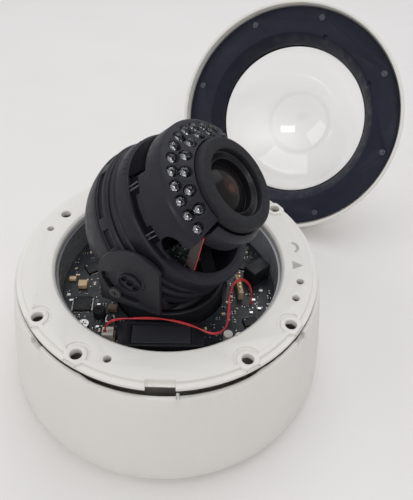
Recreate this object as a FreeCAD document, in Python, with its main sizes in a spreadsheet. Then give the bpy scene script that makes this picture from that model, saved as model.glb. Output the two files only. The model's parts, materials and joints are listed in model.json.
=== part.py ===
import FreeCAD, Part
import math
import os
import Sketcher
from FreeCAD import Placement, Rotation, Vector

# Dome camera lying on its back: white base, three-axis camera ball, and the dome cover standing on its
# rim behind it. The origin is the middle of the base on the surface it stands on, +Z up, and the front
# of the base is near -Y.

doc = FreeCAD.newDocument("dome_camera")
sheet = doc.addObject("Spreadsheet::Sheet", "Dims")


class Size:
    """A number together with the sheet expression that gives it."""

    def __init__(self, value, text):
        self.value, self.text = value, text

    def _join(self, sign, other, turned=False):
        other = other if isinstance(other, Size) else Size(float(other), f"{float(other):.6g}")
        a, b = (other, self) if turned else (self, other)
        value = {"+": a.value + b.value, "-": a.value - b.value, "*": a.value * b.value}[sign]
        return Size(value, f"({a.text} {sign} {b.text})")

    def __add__(self, other):
        return self._join("+", other)

    def __radd__(self, other):
        return self._join("+", other, True)

    def __sub__(self, other):
        return self._join("-", other)

    def __rsub__(self, other):
        return self._join("-", other, True)

    def __mul__(self, other):
        return self._join("*", other)

    def __rmul__(self, other):
        return self._join("*", other, True)

    def __neg__(self):
        return self._join("*", -1)


DIMENSIONS = [
    ("flange_top", 68.5), ("flange_radius", 75.0), ("opening_radius", 56.8), ("flange_plate", 3.6),
    ("ledge_drop", 1.6), ("ledge_radius", 72.3), ("fixing_circle", 70.3), ("fixing_hole", 2.7),
    ("small_hole", 1.8), ("small_circle", 66.2), ("base_turn", -3.3),
    ("skirt_top", 62.4), ("skirt_top_radius", 76.6), ("skirt_wide_radius", 86.0),
    ("skirt_foot_radius", 75.0), ("skirt_wall", 2.4), ("cup_radius", 60.0), ("tray_level", 31.0),
    ("plate_level", 3.2), ("board_top", 48.0), ("board_radius", 55.4), ("board_hole", 30.5),
    ("board_plate", 1.6), ("liner_radius", 56.5), ("seat_radius", 28.5), ("seat_top", 57.0),
    ("pivot_level", 92.5), ("lens_turn", -22.8), ("lens_rise", 45.7),
    ("shell_radius", 39.2), ("shell_wall", 2.4), ("ring_radius", 38.9), ("ring_front", 4.4),
    ("barrel_radius", 37.5), ("barrel_front", 16.6), ("cover_radius", 35.0), ("face_edge", 35.5),
    ("cover_wall", 1.8), ("outer_row", 29.5), ("inner_row", 25.0), ("led_radius", 2.2),
    ("hood_radius", 21.5), ("hood_front", 44.7), ("hood_mouth", 15.4), ("surround_radius", 25.0),
    ("ear_inside", 39.6), ("ear_plate", 2.6), ("ear_radius", 15.5), ("slot_circle", 12.2),
    ("pin_radius", 3.0), ("trim_radius", 78.0), ("trim_lip", 2.3), ("trim_depth", 26.0),
    ("face_depth", 6.0), ("dome_radius", 54.0), ("dome_wall", 2.5), ("dome_centre", 32.0),
    ("dome_mouth", 52.4), ("mouth_depth", 19.9), ("shoulder_radius", 77.2), ("shoulder_depth", 7.0),
    ("lid_x", 81.7), ("lid_y", 134.8), ("lid_turn", 60.5), ("wire_radius", 0.6), ("box_length", 40.0),
    ("box_width", 14.0), ("box_height", 9.6), ("button_radius", 1.5), ("button_travel", 0.4),
]

D = {}
for row, (alias, number) in enumerate(DIMENSIONS, start=1):
    sheet.set(f"A{row}", alias)
    sheet.set(f"B{row}", str(number))
    sheet.setAlias(f"B{row}", alias)
    D[alias] = Size(number, f"Dims.{alias}")
doc.recompute()

FRONT = -90 + D["base_turn"].value
PIVOT = Vector(0, 0, D["pivot_level"].value)
PAN = Rotation(Vector(0, 0, 1), D["lens_turn"].value)
LENS = PAN * Rotation(Vector(0, 1, 0), 90 - D["lens_rise"].value) * Rotation(Vector(0, 0, 1), 90)
HEAD = Placement(PIVOT, LENS)
YOKE = Placement(PIVOT, PAN)


def lid_at_rest():
    """The cover leans on two points: the shoulder of its trim and the side of its dome."""
    shoulder, depth = D["shoulder_radius"].value, D["shoulder_depth"].value
    ahead = D["dome_centre"].value - depth
    reach = math.hypot(shoulder, ahead)
    dip = math.acos(D["dome_radius"].value / reach) - math.atan2(ahead, shoulder)
    level = shoulder * math.cos(dip) + depth * math.sin(dip)
    tilt = Rotation(Vector(0, 0, 1), D["lid_turn"].value)
    tilt = tilt * Rotation(Vector(0, 1, 0), 90 + math.degrees(dip))
    return Placement(Vector(D["lid_x"].value, D["lid_y"].value, level), tilt)


LID = lid_at_rest()

nodes = {}


def number_of(size):
    """The plain number of a size or of a number."""
    return size.value if isinstance(size, Size) else float(size)


def bind(thing, **sizes):
    """Set properties of a document object, tied to the sheet where a size comes from it."""
    for prop, size in sizes.items():
        setattr(thing, prop, number_of(size))
        if isinstance(size, Size):
            thing.setExpression(prop, size.text)


def place(thing, at=(0, 0, 0), turn=None):
    """Put an object at a point, each coordinate tied to the sheet where it comes from it."""
    thing.Placement = Placement(Vector(*[number_of(c) for c in at]), turn or Rotation())
    for axis, size in zip("xyz", at):
        if isinstance(size, Size):
            thing.setExpression(f"Placement.Base.{axis}", size.text)
    return thing


def keep(name, thing, frame=None):
    """Make an object the sub-part of that name, in the frame that carries it."""
    thing.Label = name
    if frame is not None:
        thing.Placement = frame.multiply(thing.Placement)
    nodes[name] = thing
    return thing


def cylinder(radius, height, at=(0, 0, 0), turn=None):
    thing = doc.addObject("Part::Cylinder", "cylinder")
    bind(thing, Radius=radius, Height=height)
    return place(thing, at, turn)


def ball(radius, at=(0, 0, 0)):
    thing = doc.addObject("Part::Sphere", "ball")
    bind(thing, Radius=radius)
    return place(thing, at)


def box(length, width, height, at=(0, 0, 0), turn=None):
    """A box centred on its place in X and Y and standing on it in Z."""
    thing = doc.addObject("Part::Box", "box")
    bind(thing, Length=length, Width=width, Height=height)
    turn = turn or Rotation()
    corner = Vector(-number_of(length) / 2, -number_of(width) / 2, 0)
    middle = Vector(*[number_of(c) for c in at])
    thing.Placement = Placement(middle + turn.multVec(corner), turn)
    return thing


def fuse(*things):
    thing = doc.addObject("Part::MultiFuse", "joined")
    thing.Shapes = list(things)
    thing.Refine = True
    return thing


def group(*things):
    """Separate solids that share one sub-part."""
    thing = doc.addObject("Part::Compound", "group")
    thing.Links = list(things)
    return thing


def cut(base, *tools):
    thing = doc.addObject("Part::Cut", "cut")
    thing.Base = base
    thing.Tool = tools[0] if len(tools) == 1 else fuse(*tools)
    thing.Refine = True
    return thing


def common(one, other):
    thing = doc.addObject("Part::Common", "common")
    thing.Base = one
    thing.Tool = other
    return thing


def tube(outer, inner, height, at=(0, 0, 0), turn=None):
    """A plain ring, its bore cut right through."""
    low = (at[0], at[1], at[2] - 1)
    if turn is not None:
        low = tuple(Vector(*[number_of(c) for c in at]) - turn.multVec(Vector(0, 0, 1)))
    return cut(cylinder(outer, height, at, turn), cylinder(inner, height + 2, low, turn))


def origin_plane(body, role):
    return next(f for f in body.Origin.OriginFeatures if f.Role == role)


def arc_between(start, end, radius):
    """The arc from start to end that bends left for a positive radius, and the points' order on it."""
    a, b = Vector(*start, 0), Vector(*end, 0)
    chord = b - a
    left = Vector(-chord.y, chord.x, 0).normalize()
    sag = math.sqrt(radius**2 - (chord.Length / 2) ** 2)
    centre = (a + b) * 0.5 + left * (sag if radius > 0 else -sag)
    first, last = (a, b) if radius > 0 else (b, a)
    angles = [math.atan2(p.y - centre.y, p.x - centre.x) for p in (first, last)]
    circle = Part.Circle(centre, Vector(0, 0, 1), abs(radius))
    return Part.ArcOfCircle(circle, *angles), (1, 2) if radius > 0 else (2, 1)


def outline(body, plane, points):
    """A closed sketch; a point's third value is the radius of the arc that leads to it."""
    sketch = body.newObject("Sketcher::SketchObject", "outline")
    sketch.AttachmentSupport = [(origin_plane(body, plane), "")]
    sketch.MapMode = "FlatFace"
    flat = [(number_of(p[0]), number_of(p[1])) for p in points]
    ends = []
    for k, point in enumerate(points):
        start, end = flat[k - 1], flat[k]
        if len(point) == 3:
            curve, order = arc_between(start, end, point[2])
            index = sketch.addGeometry(curve, False)
            sketch.addConstraint(Sketcher.Constraint("Radius", index, abs(point[2])))
        else:
            line = Part.LineSegment(Vector(*start, 0), Vector(*end, 0))
            index, order = sketch.addGeometry(line, False), (1, 2)
        ends.append((index, order))
    for k, point in enumerate(points):
        index, order = ends[k]
        following, next_order = ends[(k + 1) % len(ends)]
        sketch.addConstraint(
            Sketcher.Constraint("Coincident", index, order[1], following, next_order[0])
        )
        for kind, size, axis in (("DistanceX", point[0], -2), ("DistanceY", point[1], -1)):
            if abs(number_of(size)) < 1e-9:
                sketch.addConstraint(Sketcher.Constraint("PointOnObject", index, order[1], axis))
                continue
            mark = sketch.addConstraint(
                Sketcher.Constraint(kind, -1, 1, index, order[1], number_of(size))
            )
            if isinstance(size, Size):
                sketch.setExpression(f"Constraints[{mark}]", size.text)
    return sketch


def turned(points, angle=360, plane="XZ_Plane"):
    """A body turned about its own Z from an outline of (radius, height) points."""
    body = doc.addObject("PartDesign::Body", "turned")
    sketch = outline(body, plane, points)
    spin = body.newObject("PartDesign::Revolution", "spin")
    spin.Profile = sketch
    spin.ReferenceAxis = (sketch, ["V_Axis"])
    spin.Angle = angle
    spin.Midplane = angle < 360
    return body


def prism(points, height, plane="XY_Plane"):
    """A body padded from a flat outline, up along the plane's normal."""
    body = doc.addObject("PartDesign::Body", "prism")
    sketch = outline(body, plane, points)
    pad = body.newObject("PartDesign::Pad", "pad")
    pad.Profile = sketch
    bind(pad, Length=height)
    return body


def polar(radius, degrees, height=0):
    """The point at a radius and an angle from +X, at a height."""
    angle = math.radians(degrees)
    return (radius * math.cos(angle), radius * math.sin(angle), height)


def arc_slot(circle, width, start, end, height, at=(0, 0, 0)):
    """A slot tool along an arc about Z, from one angle to another, with round ends."""
    radius, half = number_of(circle), width / 2
    band = turned(
        [(radius + half, at[2]), (radius + half, at[2] + height), (radius - half, at[2] + height),
         (radius - half, at[2])],
        end - start,
    )
    band.Placement = Placement(Vector(at[0], at[1], 0), Rotation(Vector(0, 0, 1), (start + end) / 2))
    caps = []
    for angle in (start, end):
        x, y, _ = polar(radius, angle)
        caps.append(cylinder(half, height, (at[0] + x, at[1] + y, at[2])))
    return fuse(band, *caps)


# ---------------------------------------------------------------- base: housing, skirt and plate

TOP = D["flange_top"]
FIXINGS = [-54.3, -31.2, 31.2, 54.3, 125.7, 148.8]
SMALL_HOLES = [-20.3, 67.6, 77.4, -105.5, 170.0]
PLATE_FIXINGS = (45, 135, 225, 315)
PLATE_CIRCLE = 54.5
WALL_CIRCLE = 42
TRAY_PLATE = 3.0
BOARD_FIXINGS = [(22.5, 39.0), (-26.0, 37.0), (-42.5, -27.0), (34.0, -36.5)]


def screw(head, shank, head_height, length, at, turn=None):
    """A pan-head screw with a cross recess: its head stands up from the point, the shank goes down."""
    whole = fuse(cylinder(head, head_height), cylinder(shank, length, (0, 0, -length)))
    arms = [box(head * 1.1, head * 0.22, 1, (0, 0, head_height * 0.5)),
            box(head * 0.22, head * 1.1, 1, (0, 0, head_height * 0.5))]
    return place(cut(whole, *arms), at, turn)


def make_skirt():
    wall = D["skirt_wall"]
    shell = turned([
        (D["skirt_foot_radius"] - 2, 0), (D["skirt_foot_radius"], 0),
        (D["skirt_wide_radius"], 5, 13), (D["skirt_top_radius"], D["skirt_top"], 470),
        (D["skirt_top_radius"] - 1.6, D["skirt_top"]),
        (D["skirt_top_radius"] - wall, D["skirt_top"] - 2),
        (D["skirt_wide_radius"] - wall - 0.4, 6.4, -470), (D["skirt_foot_radius"], wall),
        (D["skirt_foot_radius"] - 2, wall),
    ])
    levers = []
    for offset in (-47.6, 54.3, 132.4, -125.7):
        turn = Rotation(Vector(0, 0, 1), FRONT + offset)
        levers.append(box(8, 7, 4, polar(76, FRONT + offset, D["skirt_top"].value - 2.4), turn))
    rib = box(3.4, 1.4, 3.4, polar(75.3, FRONT + 5.6, D["skirt_top"].value - 3),
              Rotation(Vector(0, 0, 1), FRONT + 5.6))
    keep("skirt", fuse(cut(shell, *levers), rib))


def make_housing():
    under = TOP - D["flange_plate"]
    shelf = D["tray_level"] - TRAY_PLATE
    cup = turned([
        (D["opening_radius"] + 1.3, TOP), (D["flange_radius"] - 0.4, TOP),
        (D["flange_radius"], TOP - 0.4), (D["flange_radius"], under), (D["cup_radius"] + 3, under),
        (D["cup_radius"], under - 3), (D["cup_radius"], D["plate_level"]),
        (D["cup_radius"] - 2.8, D["plate_level"]), (D["cup_radius"] - 2.8, shelf - 2.6),
        (D["cup_radius"] - 3.8, shelf - 1.6), (D["cup_radius"] - 3.8, shelf),
        (D["cup_radius"] - 2.8, shelf), (D["cup_radius"] - 2.8, under - 0.6),
        (D["opening_radius"], under), (D["opening_radius"], TOP - 1.3),
    ])
    ledge = tube(D["flange_radius"] + 5, D["ledge_radius"], 3, (0, 0, TOP - D["ledge_drop"]))
    bosses = [cylinder(5.2, 6, polar(D["fixing_circle"].value, FRONT + a, TOP.value - 3))
              for a in FIXINGS]
    tools = [cut(ledge, *bosses)]
    for offset in FIXINGS:
        angle = FRONT + offset
        hole = polar(D["fixing_circle"].value, angle, under.value - 1)
        tools.append(cylinder(D["fixing_hole"], 8, hole))
        groove = arc_slot(5.6, 1.3, angle + 100, angle + 260, 2,
                          (hole[0], hole[1], TOP.value - 0.8))
        tools.append(groove)
    for offset in SMALL_HOLES:
        tools.append(cylinder(D["small_hole"], 8,
                              polar(D["small_circle"].value, FRONT + offset, under.value - 1)))
    tools.append(cylinder(D["fixing_hole"], 8, polar(65.2, FRONT - 117.1, under.value - 1)))
    turn = Rotation(Vector(0, 0, 1), FRONT)
    tools.append(box(6, 12.6, 5, polar(74.2, FRONT, TOP.value - 2.6), turn))
    tools.append(box(4.4, 12.6, 9, polar(75.2, FRONT, under.value - 2), turn))
    arrow = prism([(-2.6, -3.0), (2.9, 0), (-2.6, 3.0)], 3)
    arrow.Placement = Placement(Vector(*polar(64.8, FRONT + 87.1, TOP.value - 1)),
                                Rotation(Vector(0, 0, 1), FRONT + 87.1))
    tools.append(arrow)
    bay = polar(63.4, FRONT + 98.8, TOP.value - 1)
    tools.append(arc_slot(3.6, 1.4, FRONT + 38, FRONT + 160, 3, bay))
    body = cut(cup, *tools)
    lugs = [cylinder(4.5, 10, (*polar(PLATE_CIRCLE, a)[:2], D["plate_level"].value))
            for a in PLATE_FIXINGS]
    wells = [cylinder(1.5, 9, (*polar(PLATE_CIRCLE, a)[:2], D["plate_level"].value - 1))
             for a in PLATE_FIXINGS]
    keep("housing", fuse(body, *[cut(lug, well) for lug, well in zip(lugs, wells)]))


def make_tray():
    """Plate that rests on the cup's shelf and carries the pan seat and the posts of the board."""
    disc = tube(D["cup_radius"] - 2.85, 16, TRAY_PLATE, (0, 0, D["tray_level"] - TRAY_PLATE))
    posts = [tube(4, 1.4, D["board_top"] - D["board_plate"] - D["tray_level"],
                  (x, y, D["tray_level"].value)) for x, y in BOARD_FIXINGS]
    keep("tray", fuse(disc, *posts))


def make_plate():
    plate = cylinder(72.6, D["plate_level"])
    tools = [cylinder(14, 6, (0, 0, -1))]
    tools += [cylinder(3.0, 2, polar(PLATE_CIRCLE, a, -1)) for a in PLATE_FIXINGS]
    tools += [cylinder(2.3, 6, polar(WALL_CIRCLE, a, -1)) for a in (0, 90, 180, 270)]
    tools += [cylinder(1.7, 6, polar(PLATE_CIRCLE, a, -1)) for a in PLATE_FIXINGS]
    keep("wall_plate", cut(plate, *tools))
    screws = [screw(2.7, 1.5, 0.9, 7.0, polar(PLATE_CIRCLE, a, 1), Rotation(Vector(1, 0, 0), 180))
              for a in PLATE_FIXINGS]
    keep("plate_screws", group(*screws))
    keep("cable_gland", turned([(6, 0), (13.9, 0), (13.9, 8), (12, 12), (9, 18), (6, 18)]))


def make_wall():
    """Dark liner round the inside of the opening, above the board."""
    keep("wall_liner", tube(D["liner_radius"] + 0.6, D["liner_radius"] - 0.9, 15.8,
                            (0, 0, D["board_top"] + 0.3)))


# ---------------------------------------------------------------- base: main board and what it carries

BOARD = D["board_top"]


def make_board():
    board = tube(D["board_radius"], D["board_hole"], D["board_plate"], (0, 0, BOARD - D["board_plate"]))
    holes = [cylinder(1.5, 5, (x, y, BOARD.value - 3)) for x, y in BOARD_FIXINGS]
    keep("main_board", cut(board, *holes))
    heads = [screw(2.6, 1.3, 1.3, 7, (x, y, BOARD.value)) for x, y in BOARD_FIXINGS]
    keep("board_screws", group(*heads))


def make_module_box():
    x, y, level = -4.2, -40.2, BOARD.value
    turn = Rotation(Vector(0, 0, 1), D["base_turn"].value * 0.6)
    shell = box(D["box_length"], D["box_width"], D["box_height"], (x, y, level), turn)
    recess = box(28, 10.6, 2, (x, y, level + D["box_height"].value - 1), turn)
    keep("module_box", cut(shell, recess))
    keep("module_lid", box(27.4, 10, 0.7, (x, y, level + D["box_height"].value - 1), turn))


def make_connectors():
    level = BOARD.value
    keep("plug_base", box(6.4, 6.4, 2.2, (-29.6, -35.6, level)))
    slots = [box(1.7, 1.7, 4, (-30.9 + 2.6 * k, -35.6, level + 4.4)) for k in (0, 1)]
    keep("wire_plug", cut(box(5.4, 5.0, 4.2, (-29.6, -35.6, level + 2.2)), *slots))
    turn = Rotation(Vector(0, 0, 1), 94)
    keep("header_strip", box(13.0, 2.6, 5.4, (36.2, -5.6, level), turn))
    pins = [box(0.64, 0.64, 3.2, (36.2 + 0.18 * k, -5.6 + 2.54 * k, level + 5.4)) for k in (-2, -1, 0, 1, 2)]
    keep("header_pins", group(*pins))
    keep("round_post", cylinder(2.2, 6, (27.6, -38.2, level)))


def make_board_parts():
    level = BOARD.value
    keep("tan_capacitors", group(box(4.6, 4.2, 2.6, (-45.6, -1.2, level)),
                                 box(3.6, 2.4, 1.8, (-51.4, 3.2, level))))
    keep("brown_capacitor", box(4.6, 3.2, 2.8, (-28.8, -17.6, level), Rotation(Vector(0, 0, 1), -8)))
    coil = turned([(1.3, level + 4.0), (2.7, level + 4.4), (3.1, level + 3.8), (3.1, level),
                   (0, level), (0, level + 3.4), (1.3, level + 3.4)])
    coil.Placement = Placement(Vector(-35.2, -20.6, 0), Rotation())
    keep("round_coil", coil)
    chips = [((-44.5, -14, 0), 9, 9, 1.4), ((-40.5, 12, 30), 10, 7, 1.4), ((41.5, 12, -20), 7, 7, 1.2),
             ((12, 42, 10), 12, 12, 1.6), ((-18, 42, 0), 8, 6, 1.4), ((40, -27, 15), 7, 5, 1.3)]
    keep("chips", group(*[box(a, b, c, (p[0], p[1], level), Rotation(Vector(0, 0, 1), p[2]))
                          for p, a, b, c in chips]))
    pads = [((42.6, 22.6), 2.2), ((42.9, 25.4), 2.2), ((39.8, 23.3), 2.2), ((40.0, 26.2), 2.2),
            ((-50.4, -11.5), 1.6), ((-52.1, -7.6), 1.6), ((-35.6, -28.6), 1.5), ((43.4, -12.8), 1.8),
            ((45.8, -18.6), 1.8), ((41.2, -21.2), 1.6), ((48.0, -6.6), 1.8), ((-36.2, -14.6), 1.6)]
    keep("pale_parts", group(*[box(s, s * 0.7, 0.9, (p[0], p[1], level)) for p, s in pads]))
    tab = box(12.5, 8.4, 9.6, (46.6, 3.4, level), Rotation(Vector(0, 0, 1), 38))
    keep("relay", tab)


def make_service_button():
    level = BOARD.value
    x, y = -29.6, -24.6
    frame = cut(box(4.6, 4.6, 1.9, (x, y, level)),
                cylinder(D["button_radius"] + 0.25, 3, (x, y, level + 0.5)))
    keep("button_frame", frame)
    stem = cylinder(D["button_radius"], 1.9, (x, y, level + 0.5 + D["button_travel"].value + 0.2))
    keep("service_button", stem)


def make_pan_seat():
    cup = turned([
        (D["seat_radius"], D["tray_level"]), (D["seat_radius"], D["seat_top"] - 0.6),
        (D["seat_radius"] - 0.6, D["seat_top"]), (D["seat_radius"] - 2, D["seat_top"]),
        (D["seat_radius"] - 2, D["board_top"] + 0.5), (5.05, D["board_top"] + 0.5),
        (5.05, D["board_top"] - 3), (14, D["board_top"] - 3), (14, D["tray_level"]),
    ])
    keep("pan_seat", cup)


def bend_radius(points, k):
    """0.45 of the shorter run beside a point, over the tangent of half the turn there."""
    before, after = points[k] - points[k - 1], points[k + 1] - points[k]
    turn = before.getAngle(after)
    return 0.45 * min(before.Length, after.Length) / math.tan(turn / 2)


def route_wire(points):
    """Straight runs joined by tangent arcs, as one wire."""
    edges, start = [], points[0]
    for k in range(1, len(points) - 1):
        before = (points[k] - points[k - 1]).normalize()
        after = (points[k + 1] - points[k]).normalize()
        radius = bend_radius(points, k)
        turn = before.getAngle(after)
        back = radius * math.tan(turn / 2)
        first, last = points[k] - before * back, points[k] + after * back
        inward = (after - before).normalize()
        middle = points[k] + inward * (radius / math.cos(turn / 2) - radius)
        edges.append(Part.LineSegment(start, first).toShape())
        edges.append(Part.Arc(first, middle, last).toShape())
        start = last
    edges.append(Part.LineSegment(start, points[-1]).toShape())
    return Part.Wire(edges)


def swept(points, radius):
    """A round tube along a route, and a check that none of it is missing."""
    wire = route_wire(points)
    ring = Part.Wire([Part.makeCircle(radius, points[0], points[1] - points[0])])
    tube_shape = wire.makePipeShell([ring], True, False)
    wanted = math.pi * radius**2 * wire.Length
    assert abs(tube_shape.Volume / wanted - 1) < 0.02, tube_shape.Volume / wanted
    return tube_shape


def make_wires():
    """Twin lead from the plug, over the module box, up beside the ball and down to the board."""
    route = [Vector(*p) for p in (
        (-30.9, -35.6, 52.6), (-30.9, -35.5, 58.0), (-26.4, -34.4, 61.6), (-18.0, -33.4, 60.8),
        (-6.0, -33.7, 61.0), (4.0, -35.6, 60.6), (12.0, -38.9, 60.4), (20.0, -41.6, 57.6),
        (26.4, -38.0, 57.0), (28.0, -31.0, 61.6), (28.4, -24.0, 63.8), (30.8, -15.6, 64.2),
        (36.0, -9.6, 62.0), (40.8, -9.6, 57.4), (41.9, -14.0, 53.6), (41.6, -15.4, 48.2),
    )]
    wires = doc.addObject("Part::Feature", "wires")
    wires.Shape = swept(route, D["wire_radius"].value)
    keep("red_wires", wires)
    radii = [bend_radius(route, k) for k in range(1, len(route) - 1)]
    turns = [math.degrees((route[k] - route[k - 1]).getAngle(route[k + 1] - route[k]))
             for k in range(1, len(route) - 1)]
    print("red_wires bend radii", [round(r, 1) for r in radii], "turns", [round(t) for t in turns])


# ---------------------------------------------------------------- pan: the yoke that carries the ball

EAR_WIDTH = 28.4
EAR_SHIFT = -1.3
UPRIGHT = Rotation(Vector(1, 0, 0), 90)


def ear():
    """The near ear plate, its outline flat at the front, with a boss round the pivot."""
    plate = cylinder(D["ear_radius"], D["ear_plate"])
    leg = box(EAR_WIDTH, 17, D["ear_plate"], (EAR_SHIFT, -8.5, 0))
    trimmed = common(fuse(plate, leg), box(EAR_WIDTH, 34, 10, (EAR_SHIFT, -1.5, -2)))
    boss = cylinder(6.4, 0.6, (0, 0, D["ear_plate"]))
    return place(fuse(trimmed, boss), (0, -D["ear_inside"], 0), UPRIGHT)


def mirrored(thing):
    """The same on the far side."""
    other = doc.addObject("Part::Mirroring", "mirrored")
    other.Source = thing
    other.Normal = Vector(0, 1, 0)
    return other


def make_yoke():
    outside = D["ear_inside"] + D["ear_plate"]
    cradle = cut(ball(outside), ball(D["ear_inside"] + 0.2))
    band = common(cradle, box(EAR_WIDTH, 90, 34, (EAR_SHIFT, 0, -44)))
    hub = turned([(0, -49.5), (4.98, -49.5), (4.98, -44 + 0.2), (21, -44 + 0.2),
                  (21, -41.2), (19, -39.9), (0, -39.9)])
    near = ear()
    whole = fuse(cut(fuse(band, hub), ball(D["ear_inside"] + 0.2)), near, mirrored(near))
    slot = place(arc_slot(D["slot_circle"], 3.2, -178, -82, 100), (0, 50, 0), UPRIGHT)
    pivot = cylinder(D["pin_radius"] + 0.05, 100, (0, 50, 0), UPRIGHT)
    keep("yoke", cut(whole, slot, pivot), YOKE)


# ---------------------------------------------------------------- tilt: rear half of the ball

def make_rear_shell():
    outer, wall = D["shell_radius"].value, D["shell_wall"].value
    inner = outer - wall
    front = -3.2
    shell = turned([
        (0, -outer), (math.sqrt(outer**2 - front**2), front, outer),
        (math.sqrt(inner**2 - front**2), front), (0, -inner, -inner),
    ])
    outlet = cylinder(7, 12, (0, -16, -44))
    keep("rear_shell", cut(shell, outlet), HEAD)


def make_tilt_ring():
    back, front = -3.2, D["ring_front"]
    ring = turned([
        (35.4, back), (D["ring_radius"] - 0.3, back), (D["ring_radius"], back + 0.6),
        (D["ring_radius"], front - 1.2), (D["ring_radius"] - 1.2, front), (35.4, front),
    ])
    recesses = []
    for start, end in ((24, 42), (62, 96), (104, 138), (146, 158), (204, 238), (250, 290), (302, 336)):
        recess = turned([(D["ring_radius"] + 1, -1.9), (D["ring_radius"] + 1, 1.7),
                         (D["ring_radius"] - 1.1, 1.7), (D["ring_radius"] - 1.1, -1.9)], end - start)
        recess.Placement = Placement(Vector(), Rotation(Vector(0, 0, 1), (start + end) / 2))
        recesses.append(recess)
    pin_hole = cylinder(D["pin_radius"], 100, (-50, 0, 0), Rotation(Vector(0, 1, 0), 90))
    keep("tilt_ring", cut(ring, pin_hole, *recesses), HEAD)


def make_pins():
    """Pivot pins through the ears, with a three-hole cap outside, and the tilt lock screws."""
    pins, locks = [], []
    outside = D["ear_inside"].value + D["ear_plate"].value
    for side in (-1, 1):
        turn = Rotation(Vector(1, 0, 0), 90 * -side)
        pin = fuse(cylinder(D["pin_radius"], 7.4, (0, 0, -6.6)), cylinder(5.2, 1.2, (0, 0, 0.8)))
        holes = [cylinder(1.0, 2, polar(3.6, a, 1.1)) for a in (143, -37)]
        holes.append(cylinder(1.3, 2, (0, 0, 1.1)))
        pins.append(place(cut(pin, *holes), (0, side * outside, 0), turn))
        angle = -129
        x, z, _ = polar(D["slot_circle"].value, angle)
        lock = screw(2.7, 1.35, 1.3, 6.6, (x, side * (outside + 0.05), z), turn)
        locks.append(lock)
    keep("pivot_pins", group(*pins), YOKE)
    keep("tilt_lock_screws", group(*locks), YOKE)


# ---------------------------------------------------------------- roll: front of the ball with the lens

def make_mid_barrel():
    front, radius = D["barrel_front"], D["barrel_radius"]
    inner = 33.6
    barrel = turned([
        (inner, D["ring_front"] + 0.4), (radius, D["ring_front"] + 0.4), (radius, 7.6),
        (radius - 0.9, 8.2), (radius - 0.9, 9.0), (radius, 9.6), (radius - 0.5, front - 1.0),
        (radius - 1.5, front), (inner, front),
    ])
    crown = turned([(inner, front), (radius - 1.5, front), (radius - 2.6, 24.0), (inner, 25.0)], 58,
                   "YZ_Plane")
    neck = turned([(31.2, D["ring_front"] - 6), (35.0, D["ring_front"] - 6),
                   (35.0, D["ring_front"] + 0.4), (inner, D["ring_front"] + 0.4), (inner, front),
                   (31.2, front)])
    keep("mid_barrel", fuse(barrel, crown, neck), HEAD)


def led_angles():
    outer = [180 - (3.5 + 12.27 * k) for k in range(12)]
    inner = [180 - (15.5 + 18.4 * k) for k in range(8)]
    return outer, inner


FACE_HIGH, FACE_LOW = 41.4, 36.4
ARCH_LEVEL, ARCH_RADIUS = 24.0, 5.0
END_PLANE = -2.0


def below_end():
    """Tool that squares off the near end of the LED crescent."""
    return box(40, 30, 60, (-28, END_PLANE - 15, 0))


def make_front_cover():
    radius, wall = D["cover_radius"], D["cover_wall"]
    low, rim = D["barrel_front"] + 1.2, D["face_edge"]
    shell = turned([
        (radius - wall, low), (radius, low), (radius - 0.4, rim - 1.2), (radius - 1.8, rim),
        (27.6, FACE_LOW + 1.4), (21.9, FACE_HIGH), (21.9, FACE_HIGH - wall),
        (27.0, FACE_LOW - 0.6), (radius - wall - 1, rim - wall),
    ], 160, "YZ_Plane")
    shell.Placement = Placement(Vector(), Rotation(Vector(0, 0, 1), 18))
    notch = turned([(radius - 4, low - 1), (radius + 2, low - 1), (radius + 2, 26.2), (radius - 4, 26.2)],
                   62, "YZ_Plane")
    arch = fuse(cylinder(ARCH_RADIUS, 30, (-42, 1.9, ARCH_LEVEL), Rotation(Vector(0, 1, 0), 90)),
                box(30, 20, 2 * ARCH_RADIUS, (-30, -8.1, ARCH_LEVEL - ARCH_RADIUS)))
    holes = []
    outer, inner = led_angles()
    for angle in outer:
        holes.append(cylinder(D["led_radius"] + 0.2, 12, polar(D["outer_row"].value, angle, 30)))
    for angle in inner:
        holes.append(cylinder(D["led_radius"] + 0.2, 12, polar(D["inner_row"].value, angle, 33)))
    tabs = []
    for angle in (163, 128):
        tabs.append(box(2.4, 2.2, 2.0, polar(34.0, angle, D["barrel_front"].value),
                        Rotation(Vector(0, 0, 1), angle)))
    keep("front_cover", fuse(cut(shell, notch, arch, below_end(), *holes), *tabs), HEAD)


def led(radius, top, length):
    """A round LED with a domed end."""
    return fuse(cylinder(radius, length - radius, (0, 0, top - length)), ball(radius, (0, 0, top - radius)))


def make_leds():
    outer, inner = led_angles()
    board = 30.6
    crescent = turned([(21.6, board - 1.4), (32.2, board - 1.4), (32.2, board), (21.6, board)], 158,
                      "YZ_Plane")
    crescent.Placement = Placement(Vector(), Rotation(Vector(0, 0, 1), 18))
    keep("led_board", cut(crescent, below_end()), HEAD)
    for name, angles, circle, length in (("outer_leds", outer, "outer_row", 7.3),
                                         ("inner_leds", inner, "inner_row", 10.2)):
        row = [place(led(D["led_radius"], 0, length), polar(D[circle].value, a, board + length))
               for a in angles]
        keep(name, group(*row), HEAD)


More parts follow.
